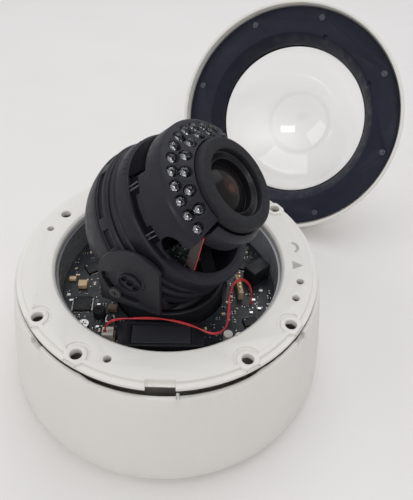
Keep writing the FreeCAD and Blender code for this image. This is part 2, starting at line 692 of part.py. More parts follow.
def make_lens():
    outer, front = D["hood_radius"], D["hood_front"]
    hood = turned([
        (16.9, 38.2), (outer - 1.0, 38.2), (outer, 40.0), (outer, front - 1.2),
        (outer - 1.2, front), (D["hood_mouth"] + 0.8, front), (D["hood_mouth"], front - 0.8),
        (D["hood_mouth"], 42.0), (16.9, 41.0),
    ])
    keep("rubber_hood", hood, HEAD)
    sleeve = tube(21.2, 17.2, 25.0, (0, 0, 13.0))
    arms = [box(9, 70, 2.4, (0, 0, 13.0), Rotation(Vector(0, 0, 1), a)) for a in (20, 80, 140)]
    spokes = cut(common(fuse(*arms), cylinder(31.2, 6, (0, 0, 12))), cylinder(17.2, 8, (0, 0, 11)))
    collar = turned([
        (21.4, 27.0), (D["surround_radius"] - 1.0, 27.0), (D["surround_radius"], 28.0),
        (D["surround_radius"], 36.0), (22.6, 38.6), (21.7, 38.6), (21.4, 37.8),
    ], 360)
    below = common(collar, box(90, 50, 60, (0, -29.5, 0)))
    keep("lens_collar", below, HEAD)
    keep("lens_sleeve", fuse(sleeve, spokes), HEAD)
    barrel = turned([
        (11.4, 8), (14.2, 8), (14.2, 27), (16.8, 29), (16.8, 40.6), (15.2, 41.8), (12.6, 41.0),
        (12.6, 37.4), (11.4, 36.4),
    ])
    keep("lens_barrel", barrel, HEAD)
    rim, low, high = 12.3, 37.4, 41.2
    bulge = (rim**2 + (high - low) ** 2) / (2 * (high - low))
    glass = turned([(0, 34.4), (11.3, 34.4), (11.3, 36.4), (rim, low), (0, high, bulge)])
    keep("front_lens", glass, HEAD)
    iris = turned([(4.4, 33.2), (11.3, 33.2), (11.3, 34.2), (4.4, 34.2)])
    keep("iris_stop", iris, HEAD)
    keep("rear_lens", turned([(0, 11.6), (0, 9.0), (11.3, 9.4), (11.3, 11.0)]), HEAD)


def make_sensor():
    holder = cut(box(30, 30, 4, (0, 0, 4)), cylinder(10.4, 8, (0, 0, 2)))
    arms = [box(8, 70, 3, (side * 11, 0, 4)) for side in (-1, 1)]
    reach = common(fuse(*arms), cylinder(31.2, 8, (0, 0, 2)))
    keep("lens_mount", fuse(holder, reach), HEAD)
    keep("sensor_board", box(36, 36, 1.6, (0, 0, 2.4)), HEAD)
    keep("image_sensor", box(9, 7, 1.2, (0, 0, 4.0)), HEAD)
    keep("flex_strap", make_strap(), HEAD)
    keep("driver_board", box(1.0, 11.5, 11.0, (-25.5, -7.25, 11.0)), HEAD)


def make_strap():
    """Flat strap from the end of the LED board back into the barrel, beside the lens."""
    strip = prism([(-2.8, 28.6), (-2.8, 35.6), (-3.6, 34.6), (-12.0, 22.0), (-15.0, 17.1), (-10.4, 17.1)],
                  0.4, "YZ_Plane")
    strip.Placement = Placement(Vector(-27.0, 0, 0), Rotation(Vector(0, 1, 0), -5.4))
    return strip


# ---------------------------------------------------------------- cover: trim, liner, dome and seal

LINER_SCREWS = (8, 52, 95.5, 143, 182, 230.5, 273.5, 325.5)
LINER_CIRCLE = 69.5


def make_cover():
    trim, lip, depth = D["trim_radius"], D["trim_lip"], D["face_depth"]
    shell = turned([
        (trim - lip, 0), (trim - 0.6, 0), (trim, 0.6), (D["shoulder_radius"], D["shoulder_depth"]),
        (57.5, D["trim_depth"], 42), (54.6, D["trim_depth"]), (54.6, 23.4), (58.4, 22.9),
        (63.0, 18.6), (71.6, 11.4), (trim - lip, depth + 2.0),
    ])
    bosses = [tube(3.0, 1.45, 5.0, (*polar(LINER_CIRCLE, a)[:2], depth.value + 1.9))
              for a in LINER_SCREWS]
    keep("cover_trim", fuse(shell, *bosses), LID)
    liner = turned([
        (74.9, depth), (74.9, depth + 1.8), (60.3, depth + 1.8), (56.6, 18.2), (56.6, 20.6),
        (D["dome_mouth"], 20.6), (D["dome_mouth"], D["mouth_depth"] - 1.0), (53.6, 16.6),
        (57.6, depth + 0.6), (58.3, depth),
    ])
    notches = [box(3.4, 2.6, 3, polar(58.0, a, depth.value - 1), Rotation(Vector(0, 0, 1), a))
               for a in (188.0, 232.0)]
    corner = box(15, 9, 6, (71.5, -11.7, depth.value - 1), Rotation(Vector(0, 0, 1), 119.4))
    wells = [cylinder(1.5, 5, polar(LINER_CIRCLE, a, depth.value - 1)) for a in LINER_SCREWS]
    keep("cover_liner", cut(liner, *notches, corner, *wells), LID)
    heads = [screw(2.0, 1.4, 0.5, 5.4, polar(LINER_CIRCLE, a, depth.value),
                   Rotation(Vector(1, 0, 0), 180)) for a in LINER_SCREWS]
    keep("liner_screws", group(*heads), LID)
    make_dome()


def make_dome():
    outer, wall, centre = D["dome_radius"].value, D["dome_wall"].value, D["dome_centre"].value
    inner = outer - wall
    dome = turned([
        (inner, 20.8), (57.2, 20.8), (57.2, 22.4), (outer, 22.8), (outer, centre),
        (0, centre + outer, outer), (0, centre + inner), (inner, centre, -inner),
    ])
    keep("clear_dome", dome, LID)
    seal = turned([(54.3, 22.95), (57.0, 22.6), (57.2, 22.9), (54.4, 23.35)])
    keep("dome_seal", seal, LID)


make_skirt()
make_housing()
make_tray()
make_plate()
make_wall()
make_board()
make_module_box()
make_connectors()
make_board_parts()
make_service_button()
make_pan_seat()
make_wires()
make_yoke()
make_rear_shell()
make_tilt_ring()
make_pins()
make_mid_barrel()
make_front_cover()
make_leds()
make_lens()
make_sensor()
make_cover()
doc.recompute()

failed = [f"{thing.Name} ({thing.Label})" for thing in doc.Objects
          if "Invalid" in thing.State or "Error" in thing.State]
for name, thing in nodes.items():
    if thing.Shape.isNull() or not thing.Shape.isValid() or not thing.Shape.Solids:
        failed.append(f"{name}: bad shape")
if failed:
    raise SystemExit("failed: " + ", ".join(failed))

os.makedirs("parts", exist_ok=True)
for name, thing in nodes.items():
    thing.Shape.exportStep(f"parts/{name}.step")
    box_of = thing.Shape.BoundBox
    print(f"{name:18s} solids {len(thing.Shape.Solids):2d}  volume {thing.Shape.Volume:10.1f}"
          f"  x {box_of.XMin:7.1f} {box_of.XMax:7.1f}  y {box_of.YMin:7.1f} {box_of.YMax:7.1f}"
          f"  z {box_of.ZMin:7.1f} {box_of.ZMax:7.1f}")
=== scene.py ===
import json
import math
import random

import bmesh
import bpy
from mathutils import Matrix, Vector


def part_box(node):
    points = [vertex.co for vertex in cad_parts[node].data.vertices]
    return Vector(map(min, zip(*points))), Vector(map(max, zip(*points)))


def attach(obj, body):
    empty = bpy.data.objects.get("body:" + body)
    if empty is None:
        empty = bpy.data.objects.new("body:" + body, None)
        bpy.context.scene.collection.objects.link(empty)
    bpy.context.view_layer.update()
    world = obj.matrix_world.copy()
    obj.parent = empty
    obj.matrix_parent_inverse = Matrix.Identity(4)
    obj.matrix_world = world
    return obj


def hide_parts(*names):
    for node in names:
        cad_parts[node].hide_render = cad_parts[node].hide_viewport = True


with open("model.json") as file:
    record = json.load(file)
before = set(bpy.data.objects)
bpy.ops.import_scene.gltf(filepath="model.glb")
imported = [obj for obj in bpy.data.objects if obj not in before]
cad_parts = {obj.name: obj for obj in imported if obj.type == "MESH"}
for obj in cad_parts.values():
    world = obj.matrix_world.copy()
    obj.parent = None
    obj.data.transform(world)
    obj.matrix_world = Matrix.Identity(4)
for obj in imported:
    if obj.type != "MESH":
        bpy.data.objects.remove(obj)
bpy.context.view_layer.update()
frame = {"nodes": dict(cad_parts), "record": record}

# Sizes are in millimetres, as in the CAD source, and become metres when a mesh is made.
MM = 0.001
NODES = frame["nodes"]
BODY_OF = {n: b for b, members in frame["record"]["behaviour"]["bodies"].items() for n in members}


# ------------------------------------------------------------------------------------ places

def turn(axis, degrees):
    """A turn about an axis."""
    return Matrix.Rotation(math.radians(degrees), 4, axis)


def move(x, y, z):
    """A shift in the frame's own directions."""
    return Matrix.Translation(Vector((x, y, z)))


# Frames of the base, of the yoke, of the camera ball with its lens along +Z, and of the cover.
BASE = Matrix.Identity(4)
PIVOT = (0, 0, 92.5)
LENS_TURN, LENS_RISE = -22.8, 45.7
YOKE = move(*PIVOT) @ turn("Z", LENS_TURN)
HEAD = YOKE @ turn("Y", 90 - LENS_RISE) @ turn("Z", 90)
# Direction of the middle of the base's front, in degrees round Z.
FRONT = -93.3
DOME_RADIUS, DOME_CENTRE = 54.0, 32.0


def lid_at_rest():
    """The cover leans on the shoulder of its trim and on the side of its dome."""
    shoulder, depth = 77.2, 7.0
    stand_x, stand_y, facing = 81.7, 134.8, 60.5
    reach = math.hypot(shoulder, DOME_CENTRE - depth)
    dip = math.acos(DOME_RADIUS / reach) - math.atan2(DOME_CENTRE - depth, shoulder)
    level = shoulder * math.cos(dip) + depth * math.sin(dip)
    return move(stand_x, stand_y, level) @ turn("Z", facing) @ turn("Y", 90 + math.degrees(dip))


LID = lid_at_rest()
# Height of the crown of the front glass, in the ball's frame.
GLASS_TOP = 41.2


# ------------------------------------------------------------------------------------ materials

FINISHES = {}
NOISE_ROUGHNESS = 0.55
PATCH_DETAIL, GRAIN_DETAIL = 4.0, 2.0


class Surface:
    """A procedural material on one Principled shader; every pattern is in the object's millimetres."""

    def __init__(self, name, colour, roughness, metallic=0.0, specular=0.5, coat=0.0):
        self.material = bpy.data.materials.new(name)
        FINISHES[name] = self.material
        self.material.use_nodes = True
        self.tree = self.material.node_tree
        self.shader = self.tree.nodes["Principled BSDF"]
        self.shader.inputs["Base Color"].default_value = (*colour, 1)
        self.shader.inputs["Roughness"].default_value = roughness
        self.shader.inputs["Metallic"].default_value = metallic
        self.shader.inputs["Specular IOR Level"].default_value = specular
        self.shader.inputs["Coat Weight"].default_value = coat
        self.colour = (*colour, 1)
        self.roughness = roughness
        self.colour_out = None
        self.normal_out = None

    def node(self, kind, **values):
        """A new node with those properties set."""
        made = self.tree.nodes.new(kind)
        for key, value in values.items():
            setattr(made, key, value)
        return made

    def join(self, out, socket):
        """Link one socket to another."""
        self.tree.links.new(out, socket)

    def place(self, stretch=(1, 1, 1)):
        """Object coordinates in millimetres, stretched for brushed or drawn patterns."""
        source = self.node("ShaderNodeTexCoord")
        scale = self.node("ShaderNodeMapping")
        scale.inputs["Scale"].default_value = [s / MM for s in stretch]
        self.join(source.outputs["Object"], scale.inputs["Vector"])
        return scale.outputs["Vector"]

    def noise(self, size, detail, stretch=(1, 1, 1)):
        """Noise from 0 to 1 whose patches are about that many millimetres across."""
        made = self.node("ShaderNodeTexNoise")
        made.inputs["Scale"].default_value = 1 / size
        made.inputs["Detail"].default_value = detail
        made.inputs["Roughness"].default_value = NOISE_ROUGHNESS
        self.join(self.place(stretch), made.inputs["Vector"])
        return made.outputs["Fac"]

    def ramp(self, value, low, high, soft="LINEAR"):
        """0 up to low and 1 from high on, or the other way round where high is the smaller."""
        made = self.node("ShaderNodeMapRange", interpolation_type=soft)
        made.inputs["From Min"].default_value = low
        made.inputs["From Max"].default_value = high
        self.join(value, made.inputs["Value"])
        return made.outputs["Result"]

    def across(self):
        """How far the point lies along X, in millimetres."""
        split = self.node("ShaderNodeSeparateXYZ")
        self.join(self.place(), split.inputs[0])
        return split.outputs["X"]

    def near(self, point):
        """Distance in millimetres from a point at rest."""
        made = self.node("ShaderNodeVectorMath", operation="DISTANCE")
        self.join(self.place(), made.inputs[0])
        made.inputs[1].default_value = point
        return made.outputs["Value"]

    def tint(self, mask, colour, amount=1.0):
        """Blend another colour in where the mask is high."""
        mix = self.node("ShaderNodeMix", data_type="RGBA")
        if self.colour_out is None:
            mix.inputs["A"].default_value = self.colour
        else:
            self.join(self.colour_out, mix.inputs["A"])
        mix.inputs["B"].default_value = (*colour, 1)
        self.join(self.scaled(mask, amount), mix.inputs["Factor"])
        self.colour_out = mix.outputs["Result"]
        self.join(self.colour_out, self.shader.inputs["Base Color"])
        return self

    def scaled(self, value, amount):
        """A value times an amount."""
        made = self.node("ShaderNodeMath", operation="MULTIPLY")
        self.join(value, made.inputs[0])
        made.inputs[1].default_value = amount
        return made.outputs[0]

    def mottle(self, size, colour, amount, low=0.35, high=0.7, detail=PATCH_DETAIL, stretch=(1, 1, 1)):
        """Patches of another colour, where noise of that size passes from low to high."""
        return self.tint(self.ramp(self.noise(size, detail, stretch), low, high), colour, amount)

    def polish(self, size, spread):
        """Roughness that varies by the spread over patches of that size."""
        low, high = 0.3, 0.7
        smoothest, roughest = 0.02, 1.0
        made = self.node("ShaderNodeMapRange")
        made.inputs["From Min"].default_value = low
        made.inputs["From Max"].default_value = high
        made.inputs["To Min"].default_value = max(self.roughness - spread, smoothest)
        made.inputs["To Max"].default_value = min(self.roughness + spread, roughest)
        self.join(self.noise(size, PATCH_DETAIL), made.inputs["Value"])
        self.join(made.outputs["Result"], self.shader.inputs["Roughness"])
        return self

    def grain(self, size, depth, stretch=(1, 1, 1)):
        """Raised grain of that size and depth."""
        bump = self.node("ShaderNodeBump")
        bump.inputs["Strength"].default_value = 1.0
        bump.inputs["Distance"].default_value = depth * MM
        self.join(self.noise(size, GRAIN_DETAIL, stretch), bump.inputs["Height"])
        if self.normal_out is not None:
            self.join(self.normal_out, bump.inputs["Normal"])
        self.normal_out = bump.outputs["Normal"]
        self.join(self.normal_out, self.shader.inputs["Normal"])
        return self

    def specks(self, size, colour, share, amount):
        """Small separate specks, such as dust; share is their radius as a part of their spacing."""
        made = self.node("ShaderNodeTexVoronoi")
        made.inputs["Scale"].default_value = 1 / size
        self.join(self.place(), made.inputs["Vector"])
        core = 0.6 * share
        return self.tint(self.ramp(made.outputs["Distance"], share, core), colour, amount)


def clear(name, colour, roughness, ior, haze_size, haze_spread):
    """Glass or clear plastic that lets lamps through to what is behind it."""
    passed = 0.92
    made = Surface(name, colour, roughness)
    made.shader.inputs["Transmission Weight"].default_value = 1.0
    made.shader.inputs["IOR"].default_value = ior
    made.polish(haze_size, haze_spread)
    light = made.node("ShaderNodeLightPath")
    through = made.node("ShaderNodeBsdfTransparent")
    through.inputs["Color"].default_value = (*[passed * c for c in colour], 1)
    mix = made.node("ShaderNodeMixShader")
    made.join(light.outputs["Is Shadow Ray"], mix.inputs[0])
    made.join(made.shader.outputs[0], mix.inputs[1])
    made.join(through.outputs[0], mix.inputs[2])
    made.join(mix.outputs[0], made.tree.nodes["Material Output"].inputs["Surface"])


def make_materials():
    """One finish for each material slot, and a few more for single pieces.

    Surface(name, colour, roughness), mottle(size, colour, amount), specks(size, colour, share, amount),
    polish(size, spread) and grain(size, depth) take their numbers in that order.
    """
    for packed in list(bpy.data.materials):
        bpy.data.materials.remove(packed)
    paint = Surface("white_paint", (0.765, 0.742, 0.692), 0.46, specular=0.4)
    paint.mottle(38, (0.715, 0.695, 0.645), 0.4).mottle(3.2, (0.68, 0.665, 0.61), 0.14, 0.52, 0.75)
    paint.specks(6.5, (0.40, 0.38, 0.34), 0.035, 0.55)
    paint.polish(9, 0.07).grain(0.55, 0.012).grain(0.16, 0.004)
    # Mid grey for painted shade on the floors of the flange's arrow and curved groove.
    shade_grey = Surface("recess_painted_shade", (0.43, 0.43, 0.41), 0.6, specular=0.3)
    shade_grey.mottle(1.2, (0.34, 0.34, 0.32), 0.5).polish(1.0, 0.08).grain(0.4, 0.02)
    ball = Surface("ball_black", (0.0137, 0.0136, 0.0196), 0.44, specular=0.24)
    ball.mottle(7, (0.020, 0.0205, 0.026), 0.5).specks(1.5, (0.16, 0.16, 0.17), 0.07, 0.3)
    ball.polish(4, 0.09).grain(0.22, 0.010).grain(0.07, 0.003)
    yoke = Surface("yoke_black", (0.0150, 0.0154, 0.0195), 0.46, specular=0.3)
    yoke.mottle(8, (0.0215, 0.022, 0.0265), 0.5).specks(1.6, (0.16, 0.16, 0.17), 0.06, 0.3)
    yoke.polish(4, 0.09).grain(0.24, 0.010)
    # A lighter copy of the yoke's black: painted light where the lens collar catches more light.
    collar = Surface("collar_black_lit", (0.0170, 0.0174, 0.0230), 0.44, specular=0.3)
    collar.mottle(8, (0.023, 0.0235, 0.029), 0.5).specks(1.6, (0.16, 0.16, 0.17), 0.06, 0.3)
    collar.polish(4, 0.09).grain(0.24, 0.010)
    # Grey much lighter than the ball's black: painted highlights on the snap clips.
    clip = Surface("clip_highlight_grey", (0.075, 0.076, 0.084), 0.4, specular=0.4)
    clip.mottle(2, (0.11, 0.11, 0.12), 0.5).polish(1.5, 0.08).grain(0.2, 0.008)
    black = Surface("black_plastic", (0.011, 0.0115, 0.0145), 0.5, specular=0.25)
    black.mottle(9, (0.018, 0.0185, 0.022), 0.5).specks(1.7, (0.15, 0.15, 0.15), 0.06, 0.3)
    black.polish(5, 0.1).grain(0.3, 0.012)
    # Grey of the well's wall, tinted lighter from 30 to 56 mm along X: a painted sheen on the right-rear of
    # the wall.
    wall = Surface("wall_grey_sheen", (0.15, 0.153, 0.165), 0.30, specular=0.6)
    sheen_from, sheen_to = 30, 56
    wall.tint(wall.ramp(wall.across(), sheen_from, sheen_to, "SMOOTHSTEP"), (0.50, 0.51, 0.54))
    wall.mottle(12, (0.20, 0.205, 0.22), 0.25).polish(6, 0.08).grain(0.3, 0.008)
    rubber = Surface("black_rubber", (0.0140, 0.0142, 0.0170), 0.62, specular=0.26)
    rubber.mottle(2.5, (0.025, 0.025, 0.0285), 0.45).specks(0.9, (0.2, 0.2, 0.2), 0.07, 0.22)
    rubber.polish(2, 0.1).grain(0.12, 0.008)
    liner = Surface("liner_navy", (0.0092, 0.0112, 0.0225), 0.50, specular=0.24)
    liner.mottle(14, (0.0145, 0.0165, 0.032), 0.5).specks(2.4, (0.2, 0.2, 0.22), 0.05, 0.35)
    liner.polish(6, 0.08).grain(0.25, 0.01)
    steel = Surface("steel_screw", (0.56, 0.55, 0.53), 0.34, metallic=1.0)
    steel.mottle(0.8, (0.40, 0.38, 0.35), 0.4).polish(0.5, 0.12).grain(0.1, 0.004, stretch=(1, 6, 1))
    dull = Surface("liner_steel", (0.055, 0.058, 0.072), 0.42, metallic=0.5)
    dull.mottle(0.7, (0.20, 0.205, 0.23), 0.8, 0.52, 0.66).polish(0.5, 0.14).grain(0.4, 0.03)
    zinc = Surface("zinc_steel", (0.60, 0.60, 0.58), 0.4, metallic=1.0)
    zinc.mottle(5, (0.48, 0.49, 0.5), 0.6).polish(3, 0.12).grain(0.4, 0.006, stretch=(1, 5, 1))
    dark = Surface("black_screw", (0.085, 0.085, 0.09), 0.36, metallic=0.6)
    dark.mottle(0.6, (0.10, 0.10, 0.10), 0.4).polish(0.5, 0.12).grain(0.12, 0.005)
    anodised = Surface("black_anodised", (0.012, 0.012, 0.014), 0.36, metallic=0.3, specular=0.3)
    anodised.mottle(1.5, (0.022, 0.022, 0.025), 0.5).polish(1.2, 0.1).grain(0.15, 0.005, stretch=(1, 1, 5))
    board = Surface("board_black", (0.014, 0.016, 0.020), 0.34, specular=0.35)
    board.mottle(1.7, (0.021, 0.024, 0.028), 0.8, 0.50, 0.53, 1.0).polish(3, 0.08)
    board.mottle(0.7, (0.04, 0.044, 0.05), 0.5, 0.62, 0.64, 0.0, stretch=(1, 4, 1))
    green = Surface("board_green", (0.007, 0.012, 0.010), 0.35, specular=0.35)
    green.mottle(1.2, (0.020, 0.034, 0.027), 0.8, 0.48, 0.52, 1.0).polish(2, 0.08)
    chip = Surface("chip_black", (0.014, 0.014, 0.015), 0.5, specular=0.35)
    chip.mottle(1.5, (0.026, 0.026, 0.028), 0.6).polish(1, 0.08).grain(0.12, 0.006)
    solder = Surface("solder", (0.78, 0.77, 0.74), 0.28, metallic=0.9)
    solder.mottle(0.4, (0.5, 0.5, 0.48), 0.5).polish(0.3, 0.15).grain(0.3, 0.03)
    gold = Surface("gold_pins", (0.82, 0.62, 0.30), 0.26, metallic=1.0)
    gold.mottle(0.5, (0.55, 0.38, 0.16), 0.5).polish(0.4, 0.1)
    beige = Surface("beige_plastic", (0.50, 0.37, 0.24), 0.4)
    beige.mottle(1.5, (0.34, 0.23, 0.13), 0.6).polish(1, 0.1).grain(0.2, 0.008)
    white = Surface("white_plastic", (0.70, 0.66, 0.61), 0.38)
    white.mottle(1.2, (0.52, 0.47, 0.42), 0.4).polish(1, 0.1).grain(0.2, 0.008)
    tan = Surface("tan_parts", (0.86, 0.63, 0.37), 0.40)
    tan.mottle(0.9, (0.62, 0.43, 0.23), 0.6).polish(0.6, 0.1).grain(0.2, 0.012)
    brown = Surface("brown_parts", (0.16, 0.12, 0.085), 0.5)
    brown.mottle(0.9, (0.09, 0.065, 0.05), 0.6).polish(0.6, 0.1).grain(0.2, 0.012)
    red = Surface("red_wire", (0.66, 0.042, 0.052), 0.32, coat=0.15)
    red.mottle(2.0, (0.46, 0.022, 0.030), 0.5).polish(1.2, 0.08).grain(0.25, 0.006)
    flex = Surface("flex_grey", (0.050, 0.036, 0.034), 0.4)
    flex.mottle(2.0, (0.075, 0.058, 0.054), 0.5).polish(2, 0.1).grain(0.3, 0.006)
    clear("clear_dome", (0.985, 0.985, 0.985), 0.015, 1.49, haze_size=14, haze_spread=0.01)
    clear("led_clear", (0.86, 0.855, 0.885), 0.03, 1.5, haze_size=1.0, haze_spread=0.015)
    clear("lens_glass", (0.93, 0.91, 0.93), 0.02, 1.45, haze_size=2.0, haze_spread=0.01)
    frame_metal = Surface("led_metal", (0.52, 0.515, 0.52), 0.24, metallic=1.0)
    frame_metal.mottle(0.4, (0.30, 0.30, 0.30), 0.5).polish(0.3, 0.1)
    # The front glass is one opaque dark surface, painted shade for the black, shadowed inside of the lens;
    # rings of brown tint stand for the pupil behind it, and a lighter brown spot beside the middle is a
    # painted reflection.
    inside_shade = Surface("lens_inside_shade", (0.0105, 0.0095, 0.0098), 0.15, specular=0.17)
    middle = inside_shade.near(HEAD @ Vector((0, 0, GLASS_TOP)))
    inside_shade.tint(inside_shade.ramp(middle, 9.5, 5.5, "SMOOTHSTEP"), (0.0125, 0.0095, 0.0092))
    inside_shade.tint(inside_shade.ramp(middle, 4.9, 4.3, "SMOOTHSTEP"), (0.030, 0.0165, 0.0140))
    beside = inside_shade.near(HEAD @ Vector((-1.6, -0.6, GLASS_TOP)))
    inside_shade.tint(inside_shade.ramp(beside, 2.4, 1.3, "SMOOTHSTEP"), (0.070, 0.034, 0.027))
    inside_shade.mottle(6, (0.017, 0.0135, 0.013), 0.2).polish(2, 0.03)
    # Near-black with almost no shine: painted shade in holes, pockets and gaps, and on parts seen deep
    # inside the ball.
    painted_shade = Surface("painted_shade_black", (0.0035, 0.0036, 0.0048), 0.65, specular=0.05)
    painted_shade.mottle(3, (0.006, 0.006, 0.008), 0.5).polish(2, 0.08).grain(0.3, 0.01)
    sensor = Surface("sensor_glass", (0.05, 0.07, 0.06), 0.12, specular=0.8)
    sensor.mottle(0.6, (0.10, 0.13, 0.11), 0.5).polish(1, 0.05)
    grey = Surface("grey_plastic", (0.026, 0.027, 0.034), 0.42, specular=0.35)
    grey.mottle(5, (0.028, 0.029, 0.036), 0.5).polish(3, 0.08).grain(0.2, 0.006)
    button = Surface("button_black", (0.014, 0.014, 0.015), 0.42)
    button.mottle(0.6, (0.035, 0.035, 0.035), 0.4).polish(0.5, 0.1).grain(0.15, 0.006)
    silk = Surface("board_print", (0.55, 0.56, 0.55), 0.5)
    silk.mottle(0.5, (0.25, 0.26, 0.26), 0.7, 0.45, 0.6).polish(0.4, 0.1)


make_materials()


# ------------------------------------------------------------------------------------ camera

def make_camera():
    """Camera in front of the base, looking down, for an image 413 wide and 500 high; angles in radians."""
    place_mm = Vector((0, -185.7742, 253.9449))
    pitch, yaw, roll = 0.7707, 0.0988, -0.0634
    sensor_mm, focal_mm = 36.0, 37.1681424
    ahead = Vector((math.sin(yaw) * math.cos(pitch), math.cos(yaw) * math.cos(pitch), -math.sin(pitch)))
    level = Vector((math.cos(yaw), -math.sin(yaw), 0))
    below = ahead.cross(level)
    right = math.cos(roll) * level + math.sin(roll) * below
    down = -math.sin(roll) * level + math.cos(roll) * below
    data = bpy.data.cameras.new("camera")
    data.sensor_fit, data.sensor_height = "VERTICAL", sensor_mm
    data.lens = focal_mm
    data.clip_start, data.clip_end = 0.01, 20
    camera = bpy.data.objects.new("camera", data)
    bpy.context.scene.collection.objects.link(camera)
    axes = Matrix((right, -down, -ahead)).transposed().to_4x4()
    camera.matrix_world = Matrix.Translation(place_mm * MM) @ axes
    bpy.context.scene.camera = camera


make_camera()


# ------------------------------------------------------------------------------------ light and floor

def lamp(name, place_mm, aim_mm, size_mm, watts, colour):
    """A soft rectangular lamp that faces its aim."""
    data = bpy.data.lights.new(name, "AREA")
    data.shape = "RECTANGLE"
    data.size, data.size_y = size_mm[0] * MM, size_mm[1] * MM
    data.energy = watts
    data.color = colour
    made = bpy.data.objects.new(name, data)
    bpy.context.scene.collection.objects.link(made)
    start, aim = Vector(place_mm) * MM, Vector(aim_mm) * MM
    facing = (aim - start).to_track_quat("-Z", "Y").to_matrix().to_4x4()
    made.matrix_world = Matrix.Translation(start) @ facing


def make_light():
    """Even studio light: a pale world, a small window, a wide sky lamp and a fill from the left."""
    world = bpy.data.worlds.new("studio")
    world.use_nodes = True
    background = world.node_tree.nodes["Background"]
    background.inputs["Color"].default_value = (0.93, 0.95, 1.0, 1)
    background.inputs["Strength"].default_value = 0.57
    bpy.context.scene.world = world
    lamp("window", (72, -662, 858), (80, 100, 50), (520, 220), 2.1, (1.0, 0.99, 0.97))
    lamp("sky", (250, 550, 1100), (40, 60, 40), (1300, 1100), 5.5, (0.98, 0.98, 1.0))
    lamp("left", (-900, -100, 700), (20, 40, 40), (800, 800), 2.2, (1.0, 0.99, 0.97))
    bpy.context.scene.view_settings.view_transform = "Standard"


def make_floor():
    """A plain pale floor that reaches that many metres each way."""
    reach = 3.0
    corners = [(-reach, -reach, 0), (reach, -reach, 0), (reach, reach, 0), (-reach, reach, 0)]
    mesh = bpy.data.meshes.new("floor")
    mesh.from_pydata(corners, [], [(0, 1, 2, 3)])
    floor = bpy.data.objects.new("floor", mesh)
    bpy.context.scene.collection.objects.link(floor)
    pale = Surface("floor_pale", (0.80, 0.778, 0.75), 0.75, specular=0.3)
    pale.mottle(90, (0.76, 0.735, 0.705), 0.4)
    mesh.materials.append(pale.material)


make_light()
make_floor()


# ------------------------------------------------------------------------------------ mesh tools

def polar(radius, degrees, level=0):
    """The point at that radius and direction round Z."""
    angle = math.radians(degrees)
    return Vector((radius * math.cos(angle), radius * math.sin(angle), level))


def rounded(points):
    """The outline of (x, y, radius) points, each corner rounded to its radius."""
    parts = 5
    out = []
    for k, (x, y, radius) in enumerate(points):
        here = Vector((x, y))
        before = (Vector(points[k - 1][:2]) - here).normalized()
        after = (Vector(points[(k + 1) % len(points)][:2]) - here).normalized()
        half = before.angle(after) / 2
        centre = here + (before + after).normalized() * (radius / math.sin(half))
        first = here + before * (radius / math.tan(half)) - centre
        last = here + after * (radius / math.tan(half)) - centre
        swing = first.angle_signed(last)
        start = math.atan2(first.y, first.x)
        for j in range(parts + 1):
            angle = start - swing * j / parts
            out.append((centre.x + radius * math.cos(angle), centre.y + radius * math.sin(angle)))
    return out


def lathe(bm, outline, steps, at=BASE, start=0, sweep=360):
    """Turn a closed outline of (radius, height) points about Z, ends closed when it is not a full turn."""
    full = sweep >= 360
    rings = []
    for k in range(steps if full else steps + 1):
        angle = math.radians(start + sweep * k / steps)
        rings.append([bm.verts.new(at @ Vector((r * math.cos(angle), r * math.sin(angle), z)))
                      for r, z in outline])
    size = len(outline)
    for k in range(len(rings) if full else len(rings) - 1):
        one, two = rings[k], rings[(k + 1) % len(rings)]
        for j in range(size):
            bm.faces.new((one[j], two[j], two[(j + 1) % size], one[(j + 1) % size]))
    if not full:
        bm.faces.new(rings[0])
        bm.faces.new(list(reversed(rings[-1])))


def block(bm, size, at, bevel=0.0):
    """A box of that size, standing on its place, with its edges bevelled."""
    made = bmesh.new()
    shape = move(0, 0, size[2] / 2) @ Matrix.Diagonal((*size, 1))
    bmesh.ops.create_cube(made, size=1, matrix=shape)
    if bevel:
        bmesh.ops.bevel(made, geom=made.edges[:], offset=bevel, segments=2, affect="EDGES", profile=0.6)
    bmesh.ops.transform(made, matrix=at, verts=made.verts)
    add(bm, made)


def add(bm, other):
    """Add one bmesh to another, and free it."""
    holder = bpy.data.meshes.new("holder")
    other.to_mesh(holder)
    other.free()
    bm.from_mesh(holder)
    bpy.data.meshes.remove(holder)


def shade(bm, degrees):
    """Smooth faces, with edges sharper than that left hard."""
    for face in bm.faces:
        face.smooth = True
    for edge in bm.edges:
        edge.smooth = len(edge.link_faces) == 2 and edge.calc_face_angle(0) < math.radians(degrees)


def piece(name, bm, body, slot, place=BASE, finish=None, stands_for=(), hard=38):
    """A piece from a bmesh in the millimetres of its frame; edges over hard degrees stay sharp."""
    bmesh.ops.remove_doubles(bm, verts=bm.verts[:], dist=1e-4)
    bmesh.ops.recalc_face_normals(bm, faces=bm.faces[:])
    bmesh.ops.transform(bm, matrix=Matrix.Scale(MM, 4) @ place, verts=bm.verts[:])
    shade(bm, hard)
    mesh = bpy.data.meshes.new(name)
    bm.to_mesh(mesh)
    bm.free()
    mesh.materials.append(FINISHES[finish or slot])
    made = bpy.data.objects.new(name, mesh)
    bpy.context.scene.collection.objects.link(made)
    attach(made, body)
    if stands_for:
        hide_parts(*stands_for)
    return made


# ------------------------------------------------------------------------------------ CAD nodes kept

SLOTS = {row["node"]: row["material_slot"] for row in frame["record"]["subparts"]}
# The wall liner takes a grey with painted sheen and the lens sleeve the near-black of painted shade; the
# dome seal and the liner screws take finishes of their own colour.
OWN_FINISH = {"wall_liner": "wall_grey_sheen", "lens_sleeve": "painted_shade_black", "dome_seal": "liner_navy",
              "liner_screws": "liner_steel"}
for name, node in NODES.items():
    node.data.materials.clear()
    node.data.materials.append(FINISHES[OWN_FINISH.get(name, SLOTS[name])])


